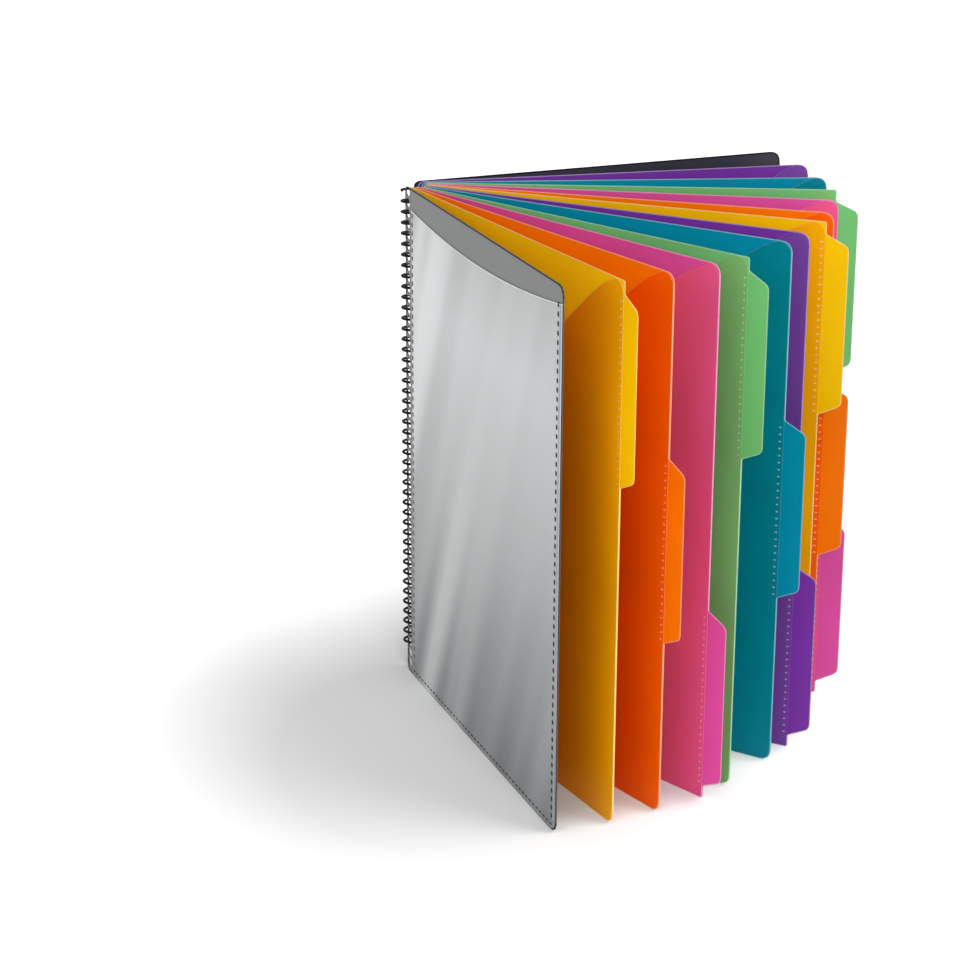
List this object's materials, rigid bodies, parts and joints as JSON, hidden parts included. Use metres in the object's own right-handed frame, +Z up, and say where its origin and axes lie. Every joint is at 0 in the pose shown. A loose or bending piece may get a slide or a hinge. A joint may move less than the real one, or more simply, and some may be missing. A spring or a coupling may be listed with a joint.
{
  "type": "project organizer folder",
  "caption": "Coil-bound plastic organizer standing open like a fan: covers with a clear front pocket, and coloured tabbed dividers that are slash pockets, each turning about the coil.",
  "frame": {"origin": "middle of the bounding box, on the surface the leaves stand on", "axes": "+Z up along the coil; +Y away from the viewer of the picture, +X to the right, the coil at the low X side"},
  "size_m": [0.2596, 0.312, 0.298],
  "materials": {
    "coil_black": "semi-gloss",
    "cover_grey": "fine matte",
    "film_clear": "frosted clear film",
    "cover_black": "fine matte",
    "yellow_sheet": "satin translucent",
    "yellow_pocket": "satin translucent",
    "orange_sheet": "satin translucent",
    "orange_pocket": "satin translucent",
    "pink_sheet": "satin translucent",
    "pink_pocket": "satin translucent",
    "green_sheet": "satin translucent",
    "green_pocket": "satin translucent",
    "teal_sheet": "satin translucent",
    "teal_pocket": "satin translucent",
    "purple_sheet": "satin translucent",
    "purple_pocket": "satin translucent"
  },
  "bodies": {
    "coil": {"spiral_coil": "coil_black"},
    "front_cover": {"front_cover": "cover_grey", "front_cover_pocket": "film_clear"},
    "divider_01": {"divider_01_yellow": "yellow_sheet", "divider_01_yellow_pocket": "yellow_pocket"},
    "divider_02": {"divider_02_orange": "orange_sheet", "divider_02_orange_pocket": "orange_pocket"},
    "divider_03": {"divider_03_pink": "pink_sheet", "divider_03_pink_pocket": "pink_pocket"},
    "divider_04": {"divider_04_green": "green_sheet", "divider_04_green_pocket": "green_pocket"},
    "divider_05": {"divider_05_teal": "teal_sheet", "divider_05_teal_pocket": "teal_pocket"},
    "divider_06": {"divider_06_purple": "purple_sheet", "divider_06_purple_pocket": "purple_pocket"},
    "divider_07": {"divider_07_yellow": "yellow_sheet", "divider_07_yellow_pocket": "yellow_pocket"},
    "divider_08": {"divider_08_orange": "orange_sheet", "divider_08_orange_pocket": "orange_pocket"},
    "divider_09": {"divider_09_pink": "pink_sheet", "divider_09_pink_pocket": "pink_pocket"},
    "divider_10": {"divider_10_green": "green_sheet", "divider_10_green_pocket": "green_pocket"},
    "divider_11": {"divider_11_teal": "teal_sheet", "divider_11_teal_pocket": "teal_pocket"},
    "divider_12": {"divider_12_purple": "purple_sheet", "divider_12_purple_pocket": "purple_pocket"},
    "back_cover": {"back_cover": "cover_black"}
  },
  "joints": [
    {"name": "divider_07_turn", "type": "hinge", "parent": "coil", "child": "divider_07", "pos_m": [-0.12028, 0.06872, 0], "axis": [0, 0, 1], "range_deg": [-5, 5]},
    {"name": "divider_06_turn", "type": "hinge", "parent": "divider_07", "child": "divider_06", "pos_m": [-0.12028, 0.06872, 0], "axis": [0, 0, 1], "range_deg": [-8.4, 6.6]},
    {"name": "divider_05_turn", "type": "hinge", "parent": "divider_06", "child": "divider_05", "pos_m": [-0.12028, 0.06872, 0], "axis": [0, 0, 1], "range_deg": [-9.9, 5.1]},
    {"name": "divider_04_turn", "type": "hinge", "parent": "divider_05", "child": "divider_04", "pos_m": [-0.12028, 0.06872, 0], "axis": [0, 0, 1], "range_deg": [-5.4, 9.6]},
    {"name": "divider_03_turn", "type": "hinge", "parent": "divider_04", "child": "divider_03", "pos_m": [-0.12028, 0.06872, 0], "axis": [0, 0, 1], "range_deg": [-10, 5]},
    {"name": "divider_02_turn", "type": "hinge", "parent": "divider_03", "child": "divider_02", "pos_m": [-0.12028, 0.06872, 0], "axis": [0, 0, 1], "range_deg": [-7.9, 7.1]},
    {"name": "divider_01_turn", "type": "hinge", "parent": "divider_02", "child": "divider_01", "pos_m": [-0.12028, 0.06872, 0], "axis": [0, 0, 1], "range_deg": [-8.2, 6.8]},
    {"name": "front_cover_turn", "type": "hinge", "parent": "divider_01", "child": "front_cover", "pos_m": [-0.12028, 0.06872, 0], "axis": [0, 0, 1], "range_deg": [-37.4, 7.6]},
    {"name": "divider_08_turn", "type": "hinge", "parent": "divider_07", "child": "divider_08", "pos_m": [-0.12028, 0.06872, 0], "axis": [0, 0, 1], "range_deg": [-4.9, 10.1]},
    {"name": "divider_09_turn", "type": "hinge", "parent": "divider_08", "child": "divider_09", "pos_m": [-0.12028, 0.06872, 0], "axis": [0, 0, 1], "range_deg": [-7.1, 7.9]},
    {"name": "divider_10_turn", "type": "hinge", "parent": "divider_09", "child": "divider_10", "pos_m": [-0.12028, 0.06872, 0], "axis": [0, 0, 1], "range_deg": [-6, 9]},
    {"name": "divider_11_turn", "type": "hinge", "parent": "divider_10", "child": "divider_11", "pos_m": [-0.12028, 0.06872, 0], "axis": [0, 0, 1], "range_deg": [-7.4, 7.6]},
    {"name": "divider_12_turn", "type": "hinge", "parent": "divider_11", "child": "divider_12", "pos_m": [-0.12028, 0.06872, 0], "axis": [0, 0, 1], "range_deg": [-8.3, 6.7]},
    {"name": "back_cover_turn", "type": "hinge", "parent": "divider_12", "child": "back_cover", "pos_m": [-0.12028, 0.06872, 0], "axis": [0, 0, 1], "range_deg": [-9, 36]}
  ]
}
